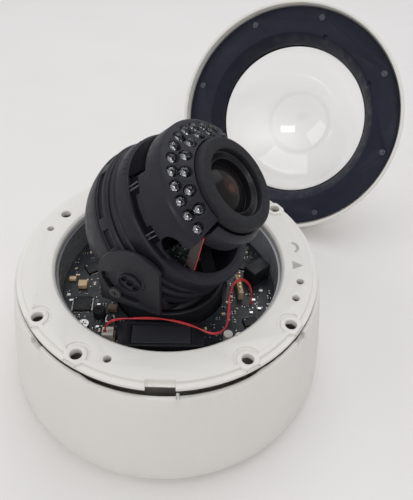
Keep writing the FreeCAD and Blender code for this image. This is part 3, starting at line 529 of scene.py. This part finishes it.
def refine(name, width, finish=None):
    """The CAD shape with its edges rounded off by that width, in place of the CAD node."""
    weld, flat, sharp = 2e-6, 1.5, 28
    bm = bmesh.new()
    bm.from_mesh(NODES[name].data)
    bmesh.ops.remove_doubles(bm, verts=bm.verts[:], dist=weld)
    bmesh.ops.dissolve_limit(bm, angle_limit=math.radians(flat), verts=bm.verts[:], edges=bm.edges[:])
    for face in bm.faces:
        face.smooth = True
    mesh = bpy.data.meshes.new(name + "_rounded")
    bm.to_mesh(mesh)
    bm.free()
    mesh.materials.append(FINISHES[finish or SLOTS[name]])
    made = bpy.data.objects.new(name + "_rounded", mesh)
    bpy.context.scene.collection.objects.link(made)
    edge = made.modifiers.new("edge", "BEVEL")
    edge.width, edge.segments = width * MM, 2
    edge.limit_method, edge.angle_limit = "ANGLE", math.radians(sharp)
    edge.use_clamp_overlap = False
    edge.harden_normals = True
    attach(made, BODY_OF[name])
    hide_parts(name)
    return made


EDGE_WIDTHS = {"module_box": 0.5, "module_lid": 0.15, "relay": 0.9, "wire_plug": 0.25, "plug_base": 0.2,
               "header_strip": 0.2, "tan_capacitors": 0.3, "brown_capacitor": 0.3, "chips": 0.15,
               "button_frame": 0.15, "housing": 0.35, "front_cover": 0.3, "tilt_ring": 0.2,
               "rear_shell": 0.3, "cover_trim": 0.4, "cover_liner": 0.3}
for name, width in EDGE_WIDTHS.items():
    refine(name, width)


def paint_crown_shade():
    """The mid barrel, its crown behind the front cover in near-black: painted shade on the recessed crown.
    """
    crown_from = 16.62
    made = refine("mid_barrel", 0.25)
    made.data.materials.append(FINISHES["painted_shade_black"])
    to_head = HEAD.inverted()
    for face in made.data.polygons:
        if (to_head @ (face.center / MM)).z > crown_from:
            face.material_index = 1


def shape_skirt():
    """The skirt, its rim lower under the front of the flange and higher round the rest."""
    made = refine("skirt", 0.3)
    rim_from = 60.5
    middle, half, taper = FRONT + 4, 27, 4
    drop, rise = 0.9, 1.2
    for vert in made.data.vertices:
        if vert.co.z < rim_from * MM:
            continue
        angle = math.degrees(math.atan2(vert.co.y, vert.co.x))
        away = abs((angle - middle + 180) % 360 - 180)
        share = min(max((away - half) / taper, 0), 1)
        vert.co.z += ((drop + rise) * share - drop) * MM


paint_crown_shade()
shape_skirt()
refine("yoke", 0.3, "yoke_black")
# The lens collar takes the lighter copy of the yoke's black, painted light.
refine("lens_collar", 0.3, "collar_black_lit")
refine("pan_seat", 0.3, "yoke_black")


# ------------------------------------------------------------------------------------ lens and hood

def make_hood():
    """Soft rubber ring round the lens, its front rolled over."""
    bm = bmesh.new()
    lathe(bm, rounded([(16.9, 38.2, 0.3), (20.6, 38.2, 0.5), (21.4, 39.9, 0.8), (21.5, 44.7, 1.9),
                       (15.4, 44.7, 0.8), (15.4, 42.2, 0.3), (16.9, 41.0, 0.2)]), 144)
    piece("hood_ring", bm, "roll", "black_rubber", HEAD, stands_for=("rubber_hood",))


def make_lens():
    """Barrel with fine steps inside its mouth, and the bulging front glass."""
    seat = 37.4
    bm = bmesh.new()
    outline = [(11.4, 8), (14.2, 8), (14.2, 27), (16.8, 29), (16.8, 40.6), (16.2, 41.5), (15.4, 41.8)]
    for k in range(4):
        outline += [(15.0 - 0.62 * k, 41.5 - 0.14 * k), (14.7 - 0.62 * k, 41.1 - 0.14 * k)]
    outline += [(12.5, 40.6), (12.5, seat), (11.4, 36.4)]
    lathe(bm, outline, 128)
    piece("barrel_stepped", bm, "roll", "black_anodised", HEAD, stands_for=("lens_barrel",), hard=25)
    rim, rise, thick = 12.3, GLASS_TOP - seat, 0.8
    bulge = (rim ** 2 + rise ** 2) / (2 * rise)
    under = bulge - thick
    middle = GLASS_TOP - bulge
    spread = [math.asin(rim / bulge) * k / 16 for k in range(17)]
    outline = [(bulge * math.sin(a), middle + bulge * math.cos(a)) for a in reversed(spread)]
    outline += [(under * math.sin(a), middle + under * math.cos(a)) for a in spread]
    bm = bmesh.new()
    lathe(bm, outline, 128)
    # The front glass is drawn opaque, in the finish that paints the shadowed inside of the lens.
    piece("lens_front_glass", bm, "roll", "lens_glass", HEAD, "lens_inside_shade", ("front_lens",))


def make_hubs():
    """Cap with a raised rim and a row of three holes on each pivot pin; a near-black disc at the foot of
    each hole is painted shade.
    """
    half_width, row_turn = 42.2, -37
    caps, holes = bmesh.new(), bmesh.new()
    for side in (-1, 1):
        at = move(0, side * half_width, 0) @ turn("X", -90 * side)
        lathe(caps, [(0, -6.6), (3.0, -6.6), (3.0, 0.8), (5.2, 0.8), (5.2, 1.75), (4.95, 2.0), (4.75, 2.0),
                     (4.6, 1.8), (4.6, 1.15), (0, 1.15)], 64, at)
        for away, radius in ((-3.15, 1.2), (0, 1.35), (3.15, 1.2)):
            spot = at @ Matrix.Translation(polar(away, row_turn))
            lathe(caps, [(radius, 1.1), (radius + 0.2, 1.1), (radius + 0.15, 1.65), (radius, 1.7)], 28, spot)
            lathe(holes, [(0, 1.1), (radius, 1.1), (radius, 1.2), (0, 1.2)], 28, spot)
    piece("pivot_caps", caps, "tilt", SLOTS["pivot_pins"], YOKE, stands_for=("pivot_pins",))
    piece("pivot_cap_hole_shade", holes, "tilt", SLOTS["pivot_pins"], YOKE, "painted_shade_black")


def make_clips():
    """Snap clips, in a grey that paints their highlights, set in a groove and pockets of painted shade at
    the back of the front cover, and fine ribs on the mid barrel.
    """
    inside, low = 34.7, 17.6
    groove, groove_high, groove_start, groove_sweep = 35.06, 19.3, 118, 49
    pocket, pocket_high, pocket_half = 35.08, 21.6, 6
    clip_circle, clip_low = 35.15, 16.7
    rib_circle, rib_low, rib_first, rib_step = 37.0, 10.6, 82, 4.2
    clips, pockets, ribs = bmesh.new(), bmesh.new(), bmesh.new()
    # Thin near-black skins over the groove and the pockets: painted shade.
    outline = [(inside, low), (groove, low), (groove, groove_high), (inside, groove_high)]
    lathe(pockets, outline, 40, start=groove_start, sweep=groove_sweep)
    outline = [(inside, low), (pocket, low), (pocket, pocket_high), (inside, pocket_high)]
    for angle in (163, 128):
        lathe(pockets, outline, 10, start=angle - pocket_half, sweep=2 * pocket_half)
        for side in (-1.0, 0.9):
            block(clips, (1.0, 0.5, 5.4), turn("Z", angle) @ move(clip_circle, side, clip_low), 0.1)
    for k in range(9):
        at = turn("Z", rib_first + rib_step * k) @ move(rib_circle, 0, rib_low)
        block(ribs, (0.5, 0.4, 4.6), at, 0.1)
    piece("snap_clips", clips, "roll", "ball_black", HEAD, "clip_highlight_grey")
    piece("clip_pocket_shade", pockets, "roll", "ball_black", HEAD, "painted_shade_black")
    piece("barrel_ribs", ribs, "roll", "ball_black", HEAD)


def led_angles(first, step, count):
    """Directions of a row of LEDs, from one end of the crescent to the other."""
    return [180 - (first + step * k) for k in range(count)]


def make_leds():
    """Round LEDs of clear resin with their lead frame, cup and chip inside."""
    radius, board = 2.34, 30.6
    # Degrees that each frame turns for a degree round the crescent, so that no two look alike.
    spin = 3.7
    resin_foot, metal_foot = board + 0.02, board + 0.1
    outer, inner = led_angles(3.5, 12.27, 12), led_angles(15.5, 18.4, 8)
    for name, angles, circle, length in (("outer", outer, 29.5, 7.3), ("inner", inner, 25.0, 10.2)):
        resin, metal = bmesh.new(), bmesh.new()
        top = board + length
        cup = top - 3.1
        dome = [(radius * math.sin(a), top - radius + radius * math.cos(a))
                for a in [math.pi / 2 * k / 9 for k in range(9, -1, -1)]]
        cup_outline = [(0, metal_foot), (0.5, metal_foot), (0.55, cup - 0.9), (1.15, cup),
                       (1.1, cup + 0.1), (0.45, cup - 0.35), (0, cup - 0.35)]
        for angle in angles:
            at = Matrix.Translation(polar(circle, angle)) @ turn("Z", angle * spin)
            lathe(resin, [(0, resin_foot), (radius, resin_foot)] + dome, 28, at)
            lathe(metal, cup_outline, 20, at)
            block(metal, (0.5, 0.9, cup - board - 0.3), at @ move(1.5, 0, metal_foot), 0.08)
            block(metal, (0.34, 0.34, 0.2), at @ move(0, 0, cup - 0.36))
        piece(name + "_led_resin", resin, "roll", "led_clear", HEAD, stands_for=(name + "_leds",))
        piece(name + "_led_frames", metal, "roll", "solder", HEAD, "led_metal")


make_hood()
make_lens()
make_hubs()
make_clips()
make_leds()


# ------------------------------------------------------------------------------------ cover

def make_dome():
    """Blown clear dome with the flange that the liner holds."""
    wall, foot = 2.5, 20.8
    inner = DOME_RADIUS - wall
    arc = [math.pi / 2 * k / 40 for k in range(41)]
    outline = [(inner, foot), (57.2, foot), (57.2, 22.4), (55.2, 22.7), (DOME_RADIUS, 23.6)]
    outline += [(DOME_RADIUS * math.cos(a), DOME_CENTRE + DOME_RADIUS * math.sin(a)) for a in arc]
    outline += [(inner * math.cos(a), DOME_CENTRE + inner * math.sin(a)) for a in reversed(arc)]
    bm = bmesh.new()
    lathe(bm, outline, 192)
    piece("dome_bubble", bm, "cover", "clear_dome", LID, stands_for=("clear_dome",), hard=50)


make_dome()


# ------------------------------------------------------------------------------------ flange and board

FLANGE_TOP = 68.5
BOARD_TOP = 48.0


def make_recess_shade():
    """Painted shade on the floors of the arrow and of the curved groove beside it."""
    floor = FLANGE_TOP - 1.0
    lift, skin = 0.01, 0.04
    arrow_circle, arrow_turn = 64.8, FRONT + 87.1
    groove_circle, groove_turn, groove_start, groove_sweep = 63.4, FRONT + 98.8, FRONT + 38, 122
    groove_in, groove_out = 3.0, 4.2
    corners = ((-2.55, -2.9), (2.75, 0), (-2.55, 2.9))
    bm = bmesh.new()
    arrow = Matrix.Translation(polar(arrow_circle, arrow_turn, floor)) @ turn("Z", arrow_turn)
    low = [bm.verts.new(arrow @ Vector((x, y, lift))) for x, y in corners]
    high = [bm.verts.new(arrow @ Vector((x, y, skin))) for x, y in corners]
    bm.faces.new(low)
    bm.faces.new(high)
    for k in range(3):
        bm.faces.new((low[k], low[k - 1], high[k - 1], high[k]))
    groove = Matrix.Translation(polar(groove_circle, groove_turn, floor))
    outline = [(groove_in, lift), (groove_out, lift), (groove_out, skin), (groove_in, skin)]
    lathe(bm, outline, 24, groove, groove_start, groove_sweep)
    piece("recess_floor_shade", bm, "base", "white_paint", finish="recess_painted_shade")


make_recess_shade()

# Nodes on the board that the small parts keep clear of.
BIG_PARTS = ["module_box", "wire_plug", "header_strip", "round_post", "brown_capacitor", "round_coil",
             "relay", "button_frame"]
# The two tan capacitors, as (low x, low y, high x, high y).
TAN_PLACES = [(-48, -4, -42.5, 1.2), (-53.5, 1.7, -49, 4.8)]
SCREW_PLACES = [(22.5, 39.0), (-26.0, 37.0), (-42.5, -27.0), (34.0, -36.5)]
# Each chip: its place, its turn, (long, wide, tall), sides with leads, and the square kept free for it.
CHIPS = [((-44.5, -14), 0, (9, 9, 1.4), 4, 9), ((-40.5, 12), 30, (10, 7, 1.4), 2, 11),
         ((41.5, 12), -20, (7, 7, 1.2), 4, 8.5), ((12, 42), 10, (12, 12, 1.6), 4, 13),
         ((-18, 42), 0, (8, 6, 1.4), 2, 8.5), ((40, -27), 15, (7, 5, 1.3), 2, 8)]


def blocked_places():
    """Rectangles of the board that larger parts stand on, in millimetres."""
    leads, screw = 1.2, 3.4
    rows = list(TAN_PLACES)
    for name in BIG_PARTS:
        low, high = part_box(name)
        rows.append((low.x / MM, low.y / MM, high.x / MM, high.y / MM))
    for (x, y), _, _, _, room in CHIPS:
        rows.append((x - room / 2 - leads, y - room / 2 - leads, x + room / 2 + leads, y + room / 2 + leads))
    for x, y in SCREW_PLACES:
        rows.append((x - screw, y - screw, x + screw, y + screw))
    return rows


def free_places(count, spare, chance):
    """Places on the board's ring that are clear of the larger parts and of each other."""
    inner, outer = 32, 53.6
    taken, found = blocked_places(), []
    while len(found) < count:
        spot = polar(chance.uniform(inner, outer), chance.uniform(0, 360))
        if any(a - spare < spot.x < c + spare and b - spare < spot.y < d + spare for a, b, c, d in taken):
            continue
        found.append(spot)
        taken.append((spot.x - spare, spot.y - spare, spot.x + spare, spot.y + spare))
    return found


def make_small_parts():
    """Small chip parts, their solder ends, the white print beside some of them, and dots of solder."""
    chance = random.Random(11)
    marked_share = 0.4
    body_share, end_share, end_place, end_swell = 0.64, 0.2, 0.41, 1.02
    bodies = {"tan": bmesh.new(), "dark": bmesh.new()}
    ends, marks = bmesh.new(), bmesh.new()
    for spot in free_places(150, 1.1, chance):
        long = chance.choice((1.0, 1.6, 1.6, 2.0))
        wide = long * 0.5
        tall = 0.35 + 0.3 * wide
        angle = chance.choice((0, 90, 0, 90, 45))
        at = Matrix.Translation(spot + Vector((0, 0, BOARD_TOP))) @ turn("Z", angle)
        kind = chance.choice(("tan", "dark", "dark"))
        block(bodies[kind], (long * body_share, wide, tall), at, 0.05)
        end_size = (long * end_share, wide * end_swell, tall * end_swell)
        for side in (-1, 1):
            block(ends, end_size, at @ move(side * long * end_place, 0, 0), 0.05)
        if chance.random() < marked_share:
            for side in (-1, 1):
                block(marks, (long * 1.5, 0.12, 0.02), at @ move(0, side * wide * 0.95, 0))
    for spot in free_places(170, 0.5, chance):
        at = Matrix.Translation(spot + Vector((0, 0, BOARD_TOP)))
        lathe(ends, [(0, 0), (0.3, 0), (0.26, 0.06), (0, 0.09)], 10, at)
    piece("small_parts_tan", bodies["tan"], "base", "tan_parts")
    piece("small_parts_dark", bodies["dark"], "base", "chip_black")
    piece("small_part_ends", ends, "base", "solder")
    piece("board_marks", marks, "base", "board_black", finish="board_print")


def make_chip_pins():
    """Leads along two or four sides of the board's chips, and a dot at the first lead."""
    pitch, margin, stand_off, corner = 0.8, 1.2, 0.45, 1.1
    pins, dots = bmesh.new(), bmesh.new()
    for (x, y), angle, (long, wide, tall), sides, _ in CHIPS:
        at = move(x, y, BOARD_TOP) @ turn("Z", angle)
        for side in range(0, 4, 1 if sides == 4 else 2):
            reach, run = (wide, long) if side % 2 == 0 else (long, wide)
            count = int((run - margin) / pitch)
            face = at @ turn("Z", 90 * side)
            for k in range(count + 1):
                along = -pitch * count / 2 + pitch * k
                block(pins, (0.34, 0.7, 0.25), face @ move(along, -reach / 2 - stand_off, 0), 0.04)
        dot = at @ move(-long / 2 + corner, wide / 2 - corner, tall + 0.005)
        lathe(dots, [(0, 0), (0.35, 0), (0.35, 0.02), (0, 0.02)], 14, dot)
    piece("chip_pins", pins, "base", "solder")
    piece("chip_dots", dots, "base", "chip_black", finish="board_print")


def make_driver_parts():
    """Chips, their leads and small parts on the outward side of the driver board."""
    chance = random.Random(5)
    pitch, half_row = 0.6, 1.2
    half_width, low, high = 5.1, 0.6, 10.4
    # The board's own face, with X across it and Y along the lens.
    face = move(-26.0, -7.25, 11.0) @ turn("Y", -90) @ turn("Z", -90)
    chips, bits = bmesh.new(), bmesh.new()
    for x, y, long, wide in ((2.2, 3.5, 3.6, 3.0), (-3.0, 8.1, 3.0, 2.4)):
        at = face @ move(x, y, 0)
        block(chips, (long, wide, 0.9), at, 0.08)
        for side in (-1, 1):
            for k in range(5):
                lead = at @ move(pitch * k - half_row, side * (wide / 2 + 0.3), 0)
                block(bits, (0.3, 0.6, 0.25), lead, 0.04)
    for _ in range(26):
        spot = move(chance.uniform(-half_width, half_width), chance.uniform(low, high), 0)
        block(bits, (chance.uniform(0.35, 1.0), 0.4, 0.35), face @ spot, 0.05)
    piece("driver_chips", chips, "roll", "chip_black", HEAD)
    piece("driver_parts", bits, "roll", "solder", HEAD)


def make_strap_edge():
    """Red conductor along the forward edge of the strap."""
    radius = 0.34
    strap = move(-27.0, 0, 0) @ turn("Y", -5.4)
    edge = [(0.7, -3.0, 35.4), (0.75, -5.6, 31.4), (0.8, -8.2, 27.6), (0.75, -12.4, 21.3),
            (0.7, -14.8, 17.6)]
    bm = bmesh.new()
    tube_along(bm, [strap @ Vector(point) for point in edge], radius)
    piece("strap_red_edge", bm, "roll", "red_wire", HEAD, hard=60)


make_small_parts()
make_chip_pins()
make_driver_parts()


# ------------------------------------------------------------------------------------ wires and strap

# The control points of the red lead's line, from the white connector to the header strip.
WIRE_ROUTE = [(-30.9, -35.6, 52.6), (-30.9, -35.5, 58.0), (-26.4, -34.4, 61.6), (-18.0, -33.4, 60.8),
              (-6.0, -33.7, 61.0), (4.0, -35.6, 60.6), (12.0, -38.9, 60.4), (20.0, -41.6, 57.6),
              (26.4, -38.0, 57.0), (28.0, -31.0, 61.6), (28.4, -24.0, 63.8), (30.8, -15.6, 64.2),
              (36.0, -9.6, 62.0), (40.8, -9.6, 57.4), (41.9, -14.0, 53.6), (41.6, -15.4, 48.2)]


def spline_points(route):
    """Points along the smooth spline that the route gives, in metres."""
    curve = bpy.data.curves.new("route", "CURVE")
    curve.dimensions = "3D"
    curve.resolution_u = 10
    spline = curve.splines.new("NURBS")
    spline.points.add(len(route) - 1)
    for point, place_mm in zip(spline.points, route):
        point.co = (*[c * MM for c in place_mm], 1)
    spline.order_u = 3
    spline.use_endpoint_u = True
    holder = bpy.data.objects.new("route", curve)
    mesh = bpy.data.meshes.new_from_object(holder)
    points = [v.co.copy() for v in mesh.vertices]
    bpy.data.objects.remove(holder)
    bpy.data.curves.remove(curve)
    bpy.data.meshes.remove(mesh)
    return points


def steady_frames(points):
    """Each point of a line, with two directions square to the line that don't spin round it."""
    side = None
    for k, point in enumerate(points):
        ahead = (points[min(k + 1, len(points) - 1)] - points[max(k - 1, 0)]).normalized()
        if side is None:
            side = ahead.orthogonal().normalized()
        else:
            side = (side - ahead * side.dot(ahead)).normalized()
        yield point, side, ahead.cross(side)


def tube_along(bm, points, radius):
    """A round tube along points, its ends closed, with no twist of its own."""
    sides = 10
    rings = []
    for point, side, other in steady_frames(points):
        rings.append([bm.verts.new(point + radius * (math.cos(a) * side + math.sin(a) * other))
                      for a in [2 * math.pi * j / sides for j in range(sides)]])
    for one, two in zip(rings, rings[1:]):
        for j in range(sides):
            bm.faces.new((one[j], one[(j + 1) % sides], two[(j + 1) % sides], two[j]))
    bm.faces.new(list(reversed(rings[0])))
    bm.faces.new(rings[-1])


def wire_length(points):
    """Length of the line through the points, in metres."""
    return sum((b - a).length for a, b in zip(points, points[1:]))


def make_wires():
    """Two thin red wires, loosely twisted round one line, once in each twist's length."""
    twist, offset, radius = 34, 0.28, 0.36
    points = spline_points(WIRE_ROUTE)
    bm = bmesh.new()
    strands = ([], [])
    run = 0.0
    last = points[0]
    for point, side, other in steady_frames(points):
        run += (point - last).length
        last = point
        angle = run / MM * 2 * math.pi / twist
        away = offset * MM * (math.cos(angle) * side + math.sin(angle) * other)
        strands[0].append(point + away)
        strands[1].append(point - away)
    for strand in strands:
        tube_along(bm, strand, radius * MM)
    for vert in bm.verts:
        vert.co /= MM
    wires = piece("red_lead", bm, "base", "red_wire", stands_for=("red_wires",), hard=60)
    tuple(points[0])
    wire_length(points)
    [tuple(p) for p in points]


make_wires()
make_strap_edge()
